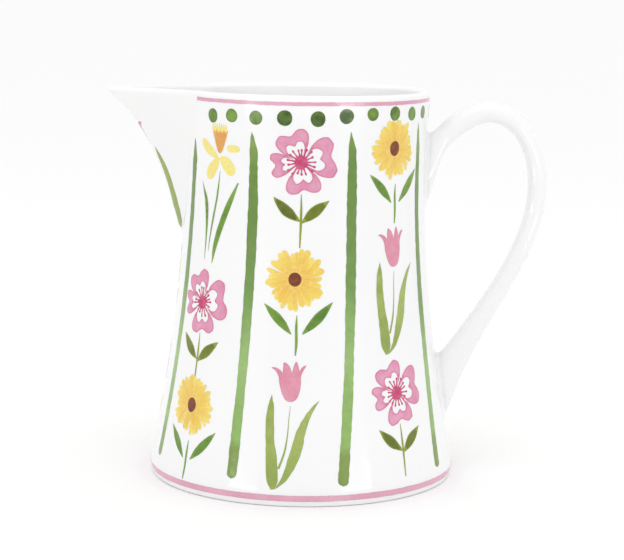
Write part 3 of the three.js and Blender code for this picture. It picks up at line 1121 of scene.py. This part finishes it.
# %% Draw a daffodil
DAFFODIL_PETALS = [  # the brush's path, its widths, the tone, and whether the petal starts rounded
    ([(-1, -1.2), (-2.8, 0), (-4.8, 1.2), (-7.3, 3.4)], [0.8, 2.2, 2.7, 2.0], 0.4, False),
    ([(2.5, 1.5), (4.6, 1.6), (7, 1.4)], [1.2, 2.1, 1.5], 0.6, True),
    ([(-0.3, -1.2), (-1.8, -3), (-3.4, -4.9), (-4.9, -7.1)], [0.8, 2.7, 3.4, 2.8], 0.3, False),
    ([(0.1, -1), (1.6, -2), (3.2, -3.5), (4.9, -5.5)], [0.8, 3.0, 3.6, 2.9], 0.7, False),
]
DAFFODIL_LEAVES = [  # the brush's path, its widths and the tone
    ([(-7.6, -8), (-5.6, -13.5), (-5.2, -18), (-5.2, -23), (-5.5, -29.5)], [0.05, 1.3, 1.1, 0.6, 0.15], 0.1),
    ([(6.4, -7.6), (3.6, -13), (0.7, -19.5), (-1.3, -25.4), (-2.2, -30.2)], [0.4, 1.6, 1.9, 1.5, 0.2], 0.6),
]
TRUMPET_FRONT = [(-0.8, 0.5), (0, 0), (0.8, 0.5), (2.4, 4), (3.2, 6.4)]
TRUMPET_MOUTH = [
    (3.2, 6.4), (2.2, 5.7), (1.6, 6.5), (1, 5.6), (0.3, 6.4), (-0.4, 5.7), (-1.1, 6.6), (-1.6, 5.8),
]
TRUMPET_BACK = [(-2.5, 6.5), (-1.9, 3.8), (-0.8, 0.5)]
FRILL_POINTS = (-2.6, -1.75, -0.9, 0.0, 0.85, 1.7, 2.6)


def daffodil(rng):
    petals = [
        stroke(path, widths, rng, round_start=loose, round_end=True, tone=tone)
        for path, widths, tone, loose in DAFFODIL_PETALS
    ]
    frill = [
        stroke([(x * 0.72, 4.6), (x * 0.9, 6.6), (x, 8.2 - 0.04 * x * x)], [1.1, 0.85, 0.2], rng, 0.03, 0.3)
        for x in FRILL_POINTS
    ]
    edge = np.vstack([through(TRUMPET_FRONT, 20)[:-1], TRUMPET_MOUTH, through(TRUMPET_BACK, 12)[:-1]])
    trumpet = {"loops": [evenly(edge, 0.35, closed=True)], "layer": 0.006}
    leaves = [stroke(path, widths, rng, tone=tone) for path, widths, tone in DAFFODIL_LEAVES]
    down = [(0.1, -4.7), (-0.9, -11), (-2.5, -18), (-3.5, -23), (-4, -27)]
    stalk = [stroke(down, [0.1, 0.6, 0.65, 0.4, 0.15], rng, 0.03, tone=0.2)]
    return [
        ("petals", "enamel_yellow", daffodil_yellow, petals),
        ("frill", "enamel_yellow", daffodil_yellow, frill),
        ("trumpet", "enamel_orange", daffodil_orange, [trumpet]),
        ("leaves", "enamel_green", leaf_green, leaves),
        ("stem", "enamel_green", leaf_green, stalk),
    ]


# %% [markdown]
# ## Printing the pattern
# The flowers stand in columns between the stripes. Three columns go on the front, one on the beak,
# and the same three again on the back. A column is an angle round the jug and a list of flowers,
# each with its place: sideways from the column's middle and up from the table, in millimetres.

# %% Print the columns
COLUMNS = {
    "front_left": (-46, [(daffodil, 2.3, 93.6), (primrose, -2.6, 52.4), (daisy, -2.4, 24.0)]),
    "front_middle": (-3.5, [(primrose, 1.2, 92.3), (daisy, 0.0, 60.9), (tulip, -0.7, 28.1)]),
    "front_right": (47, [(daisy, -1.2, 95.6), (tulip, -1.5, 63.2), (primrose, -3.4, 28.9)]),
    "beak": (-90, [(tulip, -2.2, 91.8), (daisy, -3.5, 60.0), (primrose, -3.5, 31.0)]),
}
HALF_TURN = 180
for side in ("left", "middle", "right"):
    degrees, flowers = COLUMNS["front_" + side]
    COLUMNS["back_" + side] = (degrees + HALF_TURN, flowers)


def print_flower(column, degrees, draw, place):
    """The beak bends more sharply than the wall, so its flowers get smaller triangles."""
    name = f"{column}_{draw.__name__}"
    parts = draw(random.Random(name))
    on_beak = column == "beak"
    pitch = BEAK_PITCH if on_beak else WALL_PITCH
    upright = upright_share(degrees, place)
    for part, slot, finish, shapes in parts:
        lay(f"{name}_{part}", shapes, degrees, place, finish, pitch, on_beak, upright)
    return len(parts)


printed = 0
for column, (degrees, flowers) in COLUMNS.items():
    for draw, sideways, up in flowers:
        printed += print_flower(column, degrees, draw, (sideways, up))
print("printed", printed, "parts of flowers")

# %% [markdown]
# A stripe runs from under the dots almost to the base line, one between each two columns. It starts
# in a point, where the brush touched down, and ends round. A second set goes on the back.

# %% Print the stripes
STRIPES = [  # the angle at some heights, from top to bottom
    [(-60.6, 97), (-64.6, 80), (-66.4, 63), (-67.8, 35), (-69.0, 7)],
    [(-23.6, 100), (-23.6, 85), (-24.3, 57), (-25.1, 30), (-25.9, 6.6)],
    [(21.6, 100.5), (22.0, 85), (21.3, 57), (19.0, 30), (15.7, 5.6)],
    [(64.6, 102), (65.4, 82), (65.8, 52), (65.6, 35), (63.0, 5.8)],
]
STRIPE_WIDTH, STRIPE_TIP = 2.9, 0.085


def stripe_shape(places, rng):
    """A stripe as a stroke that is drawn round the angle of its own middle."""
    middle = places[len(places) // 2][0]
    line = [(math.radians(angle - middle) * wall_radius(z), z) for angle, z in places]
    dense = through(line, 60)
    share = np.linspace(0, 1, len(dense))
    swell = 0.14 * np.sin(9 * share + rng.uniform(0, 6)) + 0.1 * np.sin(23 * share + rng.uniform(0, 6))
    sharpened = np.clip(share / STRIPE_TIP, 0, 1)
    widths = (STRIPE_WIDTH - 0.7 * (1 - share) ** 3 + swell) * (0.03 + 0.97 * sharpened**0.75)
    dense[:, 0] += 0.5 * (sharpened - 1)
    return middle, stroke(dense, widths, rng, 0.1, round_end=True, tone=rng.uniform(0, 1))


for side, turn in (("front", 0), ("back", HALF_TURN)):
    for number, places in enumerate(STRIPES, start=1):
        name = f"{side}_stripe_{number}"
        middle, shape = stripe_shape(places, random.Random(name))
        lay(name, [shape], middle + turn, (0, 0), stripe_green)
print("printed", 2 * len(STRIPES), "stripes")

# %% [markdown]
# A row of round dabs runs under the rim, and a thin pink line above them. Both stop short of the
# beak on either side. A second pink line goes right round the base, just above the foot.

# %% Print the dots and the lines
FRONT_DOTS = [  # degrees from the front, and height
    (-46.4, 103.8), (-34.9, 104.0), (-22.5, 103.9), (-9.0, 104.0), (5.7, 103.9),
    (18.5, 104.6), (31.4, 105.1), (44.2, 105.1), (56.8, 104.8), (68.6, 104.9),
]
DARK_DOTS = (4, 5, 6)  # counted from the spout
BACK_DOTS = [(86.0 + 12.75 * i, 104.6) for i in range(12)]
DOT_SIZE = 2.0
RIM_LINE_Z, RIM_LINE_WIDTH, RIM_LINE_GAP = 107.9, 1.0, 31.5  # the gap is degrees from the keel
BASE_LINE_Z, BASE_LINE_WIDTH = 2.5, 1.7
LINE_STEP = 0.3


def print_dots():
    rng = random.Random("dots")
    for number, (angle, z) in enumerate(FRONT_DOTS + BACK_DOTS, start=1):
        is_dark = number in DARK_DOTS
        tone = rng.uniform(0, 0.1) if is_dark else rng.uniform(0.4, 0.9)
        size = DOT_SIZE * (1.02 if is_dark else rng.uniform(0.88, 1.0))
        shape = blob(size * rng.uniform(0.94, 1.02), size, rng, rough=0.06, tone=tone)
        place = (0, z + rng.uniform(-0.1, 0.1))
        lay(f"rim_dot_{number:02d}", [shape], angle, place, dot_green)


def print_line(name, degrees, z, width, reach):
    rng = random.Random(name)
    points = [(reach * s, rng.uniform(-0.08, 0.08)) for s in np.linspace(-1, 1, 13)]
    shape = stroke(points, [width] * len(points), rng, 0.05, LINE_STEP)
    lay(name, [shape], degrees, (0, z), line_pink, LINE_STEP)


print_dots()
rim_reach = math.radians(180 - RIM_LINE_GAP) * wall_radius(RIM_LINE_Z)
print_line("rim_line", 90, RIM_LINE_Z, RIM_LINE_WIDTH, rim_reach)
base_reach = math.pi * float(np.interp(BASE_LINE_Z, LEVELS, OUTSIDE_R))
print_line("base_line", -90, BASE_LINE_Z, BASE_LINE_WIDTH, base_reach)
print("printed", len(FRONT_DOTS + BACK_DOTS), "dots and 2 lines")

# %% [markdown]
# ## The studio
# The jug stands on a plain pale floor that runs back out of sight. White china is lit from all
# round, so that its shape shows in gentle tones: a bright room, a soft box overhead, and a small
# warm light over the near rim into the mouth. Six panels in front light nothing (visible_diffuse is
# off). They only show in the glaze: as pale bands up the wall, over the base and along the rim.

# %% The floor and the light
FLOOR_SIZE = 60.0  # metres


def floor_finish():
    recipe = Recipe("studio_paper")
    fibre = recipe.noise(900.0, 3.0, 0.6)
    recipe.coat(Base_Color=recipe.ramp(fibre, [(0.3, (0.96, 0.96, 0.96)), (0.7, (0.98, 0.98, 0.98))]))
    recipe.coat(Roughness=0.9, Specular_IOR_Level=0.1)
    return recipe.material


def make_floor():
    half = FLOOR_SIZE / 2
    mesh = bpy.data.meshes.new("floor")
    corners = [(-half, -half, 0), (half, -half, 0), (half, half, 0), (-half, half, 0)]
    mesh.from_pydata(corners, [], [(0, 1, 2, 3)])
    mesh.materials.append(floor_finish())
    floor = bpy.data.objects.new("floor", mesh)
    bpy.context.scene.collection.objects.link(floor)
    floor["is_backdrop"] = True


def hang(light, bearing, distance, height, aim_height):
    """Hang a light and turn it to the jug's axis. bearing is degrees to the right of the camera."""
    lamp = bpy.data.objects.new(light.name, light)
    bpy.context.scene.collection.objects.link(lamp)
    turn = math.radians(bearing)
    lamp.location = (AXIS_X + distance * math.sin(turn), -distance * math.cos(turn), height)
    aim = Vector((AXIS_X, 0, aim_height)) - lamp.location
    lamp.rotation_euler = aim.to_track_quat("-Z", "Y").to_euler()
    return lamp


def soft_box(name, bearing, distance, height, size, power):
    """A flat light, aimed at the middle of the jug. Its size is in metres."""
    light = bpy.data.lights.new(name, "AREA")
    light.shape = "RECTANGLE"
    light.size, light.size_y = size
    light.energy = power
    return hang(light, bearing, distance, height, HEIGHT * MM / 2)


def mouth_light(distance, height, cone, power):
    """A spotlight from the front, over the near rim, whose cone just fits the jug's mouth."""
    light = bpy.data.lights.new("mouth_light", "SPOT")
    light.spot_size, light.spot_blend = math.radians(cone), 0.15
    light.shadow_soft_size = 0.005
    light.color = (1.0, 0.975, 0.94)
    light.energy = power
    hang(light, 0, distance, height, HEIGHT * MM + 0.003)


def bright_room(strength):
    world = bpy.data.worlds.new("bright_room")
    bpy.context.scene.world = world
    world.use_nodes = True
    world.node_tree.nodes["Background"].inputs["Color"].default_value = (1, 1, 1, 1)
    world.node_tree.nodes["Background"].inputs["Strength"].default_value = strength


make_floor()
bright_room(1.0)
soft_box("overhead_soft_box", bearing=0, distance=0.3, height=0.8, size=(0.6, 0.6), power=0.8)
GLINTS = [  # bearing, distance, height, size and power of the panels
    (-40, 0.45, 0.16, (0.18, 0.32), 0.06),
    (40, 0.45, 0.16, (0.18, 0.32), 0.06),
    (-40, 0.3, 0.0155, (0.11, 0.029), 0.045),
    (40, 0.3, 0.0155, (0.11, 0.029), 0.045),
    (-43, 0.18, 0.0885, (0.05, 0.004), 0.016),
    (38, 0.18, 0.0885, (0.075, 0.004), 0.035),
]
for number, (bearing, distance, height, size, power) in enumerate(GLINTS, start=1):
    panel = soft_box(f"glint_panel_{number}", bearing, distance, height, size, power)
    panel.visible_diffuse = False
mouth_light(distance=0.566, height=0.676, cone=4.2, power=5.0)
bpy.context.scene.view_settings.view_transform = "Standard"
print("lit the studio")

# %% [markdown]
# The camera stands straight in front, a little above the rim, and looks slightly down on the jug,
# so that the far inside wall just shows over the near rim.

# %% The camera
CAMERA_PLACE = (2.41, -548.3, 141.0)  # millimetres from the jug's axis
CAMERA_PITCH, CAMERA_ROLL = 0.155, 0.0149  # radians down, and of tilt
CAMERA_LENS = 111.62

camera = bpy.data.objects.new("camera", bpy.data.cameras.new("camera"))
camera.data.lens = CAMERA_LENS
camera.data.sensor_width = 36.0
camera.location = metres([CAMERA_PLACE])[0]
camera.rotation_euler = (math.pi / 2 - CAMERA_PITCH, 0, 0)
camera.rotation_euler.rotate_axis("Z", CAMERA_ROLL)
bpy.context.scene.collection.objects.link(camera)
bpy.context.scene.camera = camera
print("the camera stands", round(-camera.location.y, 3), "m in front")

# %% [markdown]
# Last, the sizes: the box round the frame's solids and the box round the pieces that show are both
# printed, in millimetres. Last, the sizes: the skin must stay inside the solids that it covers.

# %% Print the sizes


def write_sizes():
    boxes = {"cad": cad_box, "visual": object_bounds()}
    plain = {key: [[float(v) for v in corner] for corner in box] for key, box in boxes.items()}
    for key, (low, high) in plain.items():
        print(key, [round((b - a) / MM, 2) for a, b in zip(low, high)], "mm")


write_sizes()
